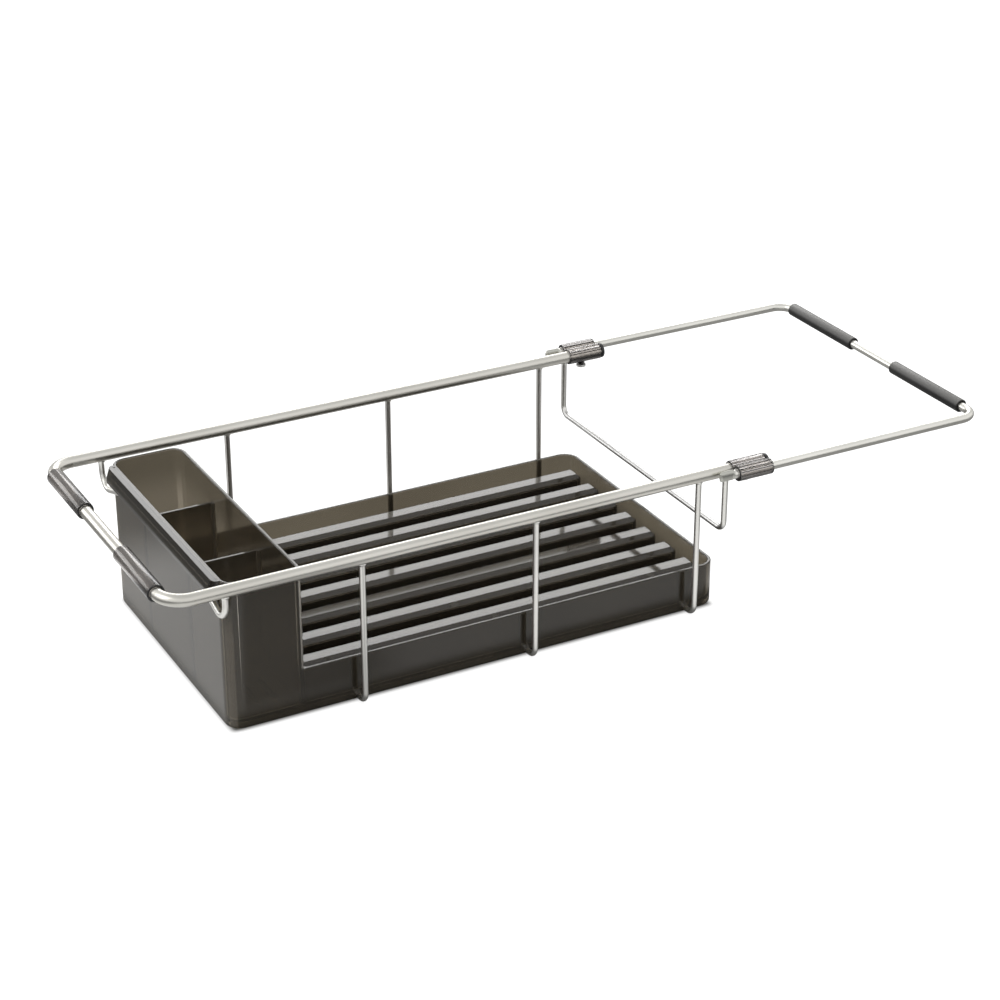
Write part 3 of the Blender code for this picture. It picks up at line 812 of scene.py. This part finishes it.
def makeWell(size):
    inner = size["side"] - size["wall"]
    corner = size["rightCorner"] - size["wall"]
    levels = footLevels(size["floorTop"], size["innerFoot"])
    levels += openLevels(size["rim"], size["rimRound"], (0, 1, 1, 1))
    return stacked("well", (size["holderRight"], -inner), (size["right"] - size["wall"], inner),
                   (size["tight"], corner, corner, size["tight"]), levels)


def roundCorners(points, radii, steps):
    # a polygon with each corner rounded
    outline = []
    for index, radius in enumerate(radii):
        corner = Vector(points[index])
        before = (Vector(points[index - 1]) - corner).normalized()
        after = (Vector(points[(index + 1) % len(points)]) - corner).normalized()
        if radius == 0:
            outline.append(tuple(corner))
            continue
        half = before.angle(after) / 2
        start = corner + before * radius / tan(half)
        end = corner + after * radius / tan(half)
        centre = corner + (before + after).normalized() * radius / sin(half)
        for step in range(steps + 1):
            spoke = (start - centre).lerp(end - centre, step / steps).normalized()
            outline.append(tuple(centre + spoke * radius))
    return outline


def ribLines(size):
    return [size["pitch"] * (number - (size["count"] - 1) / 2) for number in range(size["count"])]


def ribRings(size, y, start, end, foot, slim):
    # a rib's cross-sections; slim takes that much off every side, for the hollow inside it
    shoulder = size["top"] - size["drop"] - slim
    slope = size["half"] - size["topHalf"]
    half = size["half"] - slim
    inner = half - size["ledge"]
    stages = [(start, 0.0, 0.0), (end - slope, 0.0, 0.0)]
    stages += [(end - slope * (1 - share), share, close) for share, close in size["tip"]]
    rings = []
    for x, share, close in stages:
        topHalf = min(size["topHalf"] + slope * share - slim, inner - size["ledge"] * size["ledgeLeast"])
        top = size["top"] - size["drop"] * share - slim
        keep = max(1 - share, size["roundLeast"])
        corners = [(-half, foot), (-half, shoulder), (-inner, shoulder), (-topHalf, top),
                   (topHalf, top), (inner, shoulder), (half, shoulder), (half, foot)]
        radii = (0, size["ledgeRound"], size["ledgeRound"] * keep, size["topRound"] * keep)
        outline = roundCorners(corners, radii + radii[::-1], size["steps"])
        squeeze = 1 - size["tipRound"] * close / size["half"]
        rings.append([Vector((x, y + across * squeeze, z)) for across, z in outline])
    return rings


def joined(name, meshes):
    # several meshes in one
    bm = bmesh.new()
    for mesh in meshes:
        bm.from_mesh(mesh)
        bpy.data.meshes.remove(mesh)
    mesh = bpy.data.meshes.new(name)
    bm.to_mesh(mesh)
    bm.free()
    return mesh


def ribRow(name, size, tray, start, foot, slim):
    end = tray["right"] - tray["wall"] - size["endSpace"] - slim
    return joined(name, [skin(name, ribRings(size, y, start, end, foot, slim)) for y in ribLines(size)])


def makeRibs(size, tray):
    start, foot = tray["holderRight"] - tray["wall"] / 2, (tray["floorTop"] + tray["floorUnder"]) / 2
    return ribRow("ribs", size, tray, start, foot, 0)


def makeHollows(size, tray):
    start, foot = tray["holderRight"] + size["wall"] / 2, tray["floorUnder"] - tray["over"]
    return ribRow("hollows", size, tray, start, foot, size["wall"])


def makeRecess(size):
    inset = size["skirt"]
    levels = [(size["base"] - size["over"], (0,) * 4)] + rimLevels(size["floorUnder"], size["skirtRound"])
    left, right = size["leftCorner"] - inset, size["rightCorner"] - inset
    return stacked("recess", (size["left"] + inset, -size["side"] + inset),
                   (size["right"] - inset, size["side"] - inset), (left, right, right, left), levels)


def makeSlots(size, tray, rib):
    low, high = tray["floorUnder"] - tray["over"] / 2, tray["floorTop"] + tray["over"] / 2
    made = []

    def addSlot(x, y, length, width):
        radius = min(length, width) * size["endRound"]
        outline = rounded((x - length / 2, y - width / 2), (x + length / 2, y + width / 2), (radius,) * 4,
                          size["steps"])
        made.append(skin("slot", [[Vector((px, py, z)) for px, py in outline] for z in (low, high)]))

    lines = ribLines(rib)
    run = tray["right"] - tray["wall"] - rib["endSpace"] - tray["holderRight"]
    for y in [lines[0] - rib["pitch"] / 2] + [line + rib["pitch"] / 2 for line in lines]:
        for number in range(size["count"]):
            x = tray["holderRight"] + run * (number + 0.5) / size["count"]
            addSlot(x, y, size["share"] * run / size["count"], size["width"])
    middle = (tray["left"] + tray["holderRight"]) / 2
    outer = (tray["dividers"] + tray["side"] - tray["wall"]) / 2
    for y in (-outer, 0, outer):
        for number in range(size["holderCount"]):
            x = middle + size["holderPitch"] * (number - (size["holderCount"] - 1) / 2)
            addSlot(x, y, size["width"], size["holderLength"])
    return joined("slots", made)


def makeNotches(size, tray):
    groups = []
    levels = (tray["base"] - tray["over"], tray["floorUnder"])
    for x in wireSize["cradle"].values():
        for hand in (-1, 1):
            ends = (hand * (tray["side"] - tray["skirt"] - tray["over"] / 2),
                    hand * (tray["side"] + tray["over"]))
            groups.append([Vector((x + across, y, z)) for across in (-size["half"], size["half"])
                           for y in ends for z in levels])
    return blocks("notches", groups)


def lipSection(size, tray):
    # in x and z: a ledge, an edge that bulges round the bar, and a tail that hangs beside it
    bar, height, steps = shared["lipBarPlace"], shared["lipBarHeight"], size["steps"]
    wall, channel = size["wall"], size["channel"]
    outer = channel + wall
    root = tray["left"] + tray["wall"] / 2
    top = tray["holderRim"] - size["topDrop"]
    edge, turn = tray["left"] - size["topWidth"], size["edge"] * size["edgeTurn"]
    section = [(root, top), (edge + size["edge"], top), (edge + turn, top - turn),
               (edge, top - size["edge"])]
    for step in range(steps + 1):
        angle = radians(size["bulge"] + (180 - size["bulge"]) * step / steps)
        section.append((bar + outer * cos(angle), height + outer * sin(angle)))
    tail = height - size["tail"]
    into, above = wall * size["tailIn"], tail + wall * size["tailUp"]
    section += [(bar - outer, tail + wall / 2), (bar - outer + into, above), (bar - outer + wall / 3, tail),
                (bar - channel - into, tail), (bar - channel, above)]
    for across, along in quarterTurn(steps):
        section.append((bar - channel * across, height + channel * along))
    section.append((root, height + channel))
    return section


def makeLip(size, tray):
    # the section runs along the holder's left wall and draws in at both ends
    section = lipSection(size, tray)
    stations = [(-size["side"] + size["endRound"] * (1 - across), along)
                for across, along in quarterTurn(size["steps"])]
    rings = []
    for y, share in stations + [(-y, share) for y, share in reversed(stations)]:
        keep = size["endKeep"] + (1 - size["endKeep"]) * share
        rings.append([Vector((x if x >= tray["left"] else tray["left"] - (tray["left"] - x) * keep, y, z))
                      for x, z in section])
    return skin("lip", rings)


def makeTray(size):
    cut, add = "DIFFERENCE", "UNION"
    steps = [(add, makeHolder(size))]
    steps += [(cut, mesh) for mesh in makePockets(size)]
    steps += [(cut, makeWell(size)), (add, makeRibs(ribSize, size)), (cut, makeRecess(size)),
              (cut, makeHollows(ribSize, size)), (cut, makeSlots(slotSize, size, ribSize)),
              (cut, makeNotches(notchSize, size)), (add, makeLip(lipSize, size))]
    mesh = carved("tray", makeOuter(size), steps)
    piece = dress("smokeTray", mesh, plastics["smoke"], "tray", "tray", size["crease"])
    flats = piece.modifiers.new("flats", "WEIGHTED_NORMAL")
    flats.keep_sharp = True
    print("tray made:", len(mesh.polygons), "faces")


makeTray(traySize)


# Floor, light and camera

floorSize = {
    "half": 9.0, "height": -0.0008, "colour": (0.42, 0.42, 0.415), "cloud": 1.5, "cloudFrom": (0.3, 0.7),
    "cloudDark": 0.985, "glow": 0.85, "mirrorGlow": 0.68, "mirrorDark": 0.5,
    "front": (-0.50, -0.36), "left": (-0.56, -0.42),    # away from the object the floor mirrors darker
    "back": (0.13, 0.24), "right": (0.12, 0.22), "backDark": 0.85,
    "under": ((-0.2962, -0.1168), (0.1152, 0.1168)), "soft": 0.008,     # the part that the tray covers, where the floor's glow is left out as a painted shadow
    "contact": (0.030, 0.010, 0.018),   # how far round the tray, and to its left, the floor mirrors darker
    # in front of the holder it mirrors darker too, in a strip that runs off slanting to the right
    "strip": {"near": (-0.155, -0.125), "slant": 0.40, "left": (-0.333, -0.327), "right": (-0.246, -0.186),
              "dark": 0.68},
}
lamps = {
    # place, point it faces, width, height, power
    "keyLeft": ((-2.2, 0.35, 1.6), (-0.05, 0, 0.05), 2.0, 1.8, 17),
    "behindLeft": ((-1.45, 2.05, 0.75), (-0.2, 0.0, 0.05), 1.2, 0.9, 8),
    "behind": ((1.10, 2.10, 1.18), (0.0, 0.0, 0.04), 1.75, 0.95, 16),
    "overhead": ((0.1, -0.2, 2.4), (0, 0, 0), 2.4, 2.0, 18),    # this one isn't mirrored
}
sky = {"ambient": 0.58, "zenith": (0.72, 0.93), "zenithDark": 0.28,
       "behind": (0.15, 0.55), "behindTop": (0.45, 0.70), "behindDark": 0.30}
view = {"turn": 28.169, "lift": 26.225, "target": (-0.031196, -0.027554, 0.08605), "away": 1.864395,
        "lens": 87.303, "sensor": 36, "clip": 50}


def floorLight(finish, size):
    # what the floor gives out: white to the camera but for a painted shadow under the tray, and in mirrors
    # bright only on some parts
    place = finish.make("ShaderNodeNewGeometry", output="Position")
    across, depth = finish.axis(place, "X"), finish.axis(place, "Y")
    (left, near), (right, far) = size["under"]

    def covered(grow, growLeft, soft):
        low, high = (left - growLeft, near - grow), (right + grow, far + grow)
        return (finish.band(across, (low[0], low[0] + soft), (high[0] - soft, high[0]))
                * finish.band(depth, (low[1], low[1] + soft), (high[1] - soft, high[1])))

    lit = finish.spread(depth, *size["front"]) * finish.spread(across, *size["left"])
    lit = lit * (1 - finish.spread(depth, *size["back"]) * size["backDark"])
    lit = lit * (1 - finish.spread(across, *size["right"]) * size["backDark"])
    strip = size["strip"]
    patch = finish.band(across + depth * strip["slant"], strip["left"], strip["right"])
    lit = lit * (1 - patch * (1 - finish.spread(depth, *strip["near"])) * strip["dark"])
    lit = lit * (1 - covered(*size["contact"]))
    seen = (finish.ray("Camera") + finish.ray("Transmission")) * size["glow"]
    return seen * (1 - covered(0, 0, size["soft"])) + finish.ray("Glossy") * lit * size["mirrorGlow"]


def makeFloor(size):
    reach = size["half"]
    bm = bmesh.new()
    corners = ((-reach, -reach, 0), (reach, -reach, 0), (reach, reach, 0), (-reach, reach, 0))
    bm.faces.new([bm.verts.new(corner) for corner in corners])
    mesh = meshOf("floor", bm)
    piece = placed("floor", mesh)
    piece.location.z = size["height"]
    finish = Finish(bpy.data.materials.new("paleFloor"))
    cloud = finish.spread(finish.noise(size["cloud"]), *size["cloudFrom"])
    shade = [value * size["cloudDark"] for value in size["colour"]]
    pale = finish.mix(cloud, colour(*size["colour"]), colour(*shade))
    pale = finish.mix(finish.ray("Glossy") * size["mirrorDark"], pale, colour(0, 0, 0))
    glow = finish.make("ShaderNodeEmission", None,
                       {"Color": colour(1, 1, 1), "Strength": floorLight(finish, size)})
    base = finish.make("ShaderNodeBsdfDiffuse", None, {"Color": pale})
    both = finish.make("ShaderNodeAddShader", None, {0: base, 1: glow})
    finish.make("ShaderNodeOutputMaterial", None, {"Surface": both})
    mesh.materials.append(finish.owner)


def makeSky(size):
    # white to the camera, darker in mirrors overhead and behind, and an even soft light
    finish = Finish(bpy.data.worlds.new("studio"))
    mirrored = finish.ray("Glossy")
    seen = finish.ray("Camera") + mirrored + finish.ray("Transmission")
    place = finish.place("Generated")
    depth, height = finish.axis(place, "Y"), finish.axis(place, "Z")
    behind = finish.spread(depth, *size["behind"]) * (1 - finish.spread(height, *size["behindTop"]))
    dark = finish.spread(height, *size["zenith"]) * size["zenithDark"] + behind * size["behindDark"]
    strength = seen * (1 - size["ambient"]) + size["ambient"] - mirrored * dark
    light = finish.make("ShaderNodeBackground", None, {"Color": colour(1, 1, 1), "Strength": strength})
    finish.make("ShaderNodeOutputWorld", None, {"Surface": light})
    bpy.context.scene.world = finish.owner


def makeLamps(lamps):
    for name, (place, facing, wide, tall, power) in lamps.items():
        lamp = bpy.data.lights.new(name, "AREA")
        lamp.shape = "RECTANGLE"
        lamp.size = wide
        lamp.size_y = tall
        lamp.energy = power
        piece = placed(name, lamp)
        piece.location = place
        piece.rotation_euler = (Vector(facing) - Vector(place)).to_track_quat("-Z", "Y").to_euler()
        piece.visible_camera = False
        piece.visible_glossy = name != "overhead"


def makeCamera(view):
    turn, lift = radians(view["turn"]), radians(view["lift"])
    back = Vector((-sin(turn) * cos(lift), -cos(turn) * cos(lift), sin(lift)))
    right = (-back).cross(up).normalized()
    above = right.cross(-back).normalized()
    matrix = Matrix((right, above, back)).transposed().to_4x4()
    matrix.translation = Vector(view["target"]) + back * view["away"]
    camera = bpy.data.cameras.new("camera")
    camera.lens = view["lens"]
    camera.sensor_width = view["sensor"]
    camera.clip_end = view["clip"]
    piece = placed("camera", camera)
    piece.matrix_world = matrix
    bpy.context.scene.camera = piece


makeFloor(floorSize)
makeSky(sky)
makeLamps(lamps)
makeCamera(view)
bpy.context.scene.view_settings.view_transform = "Standard"
print("floor, light and camera made")
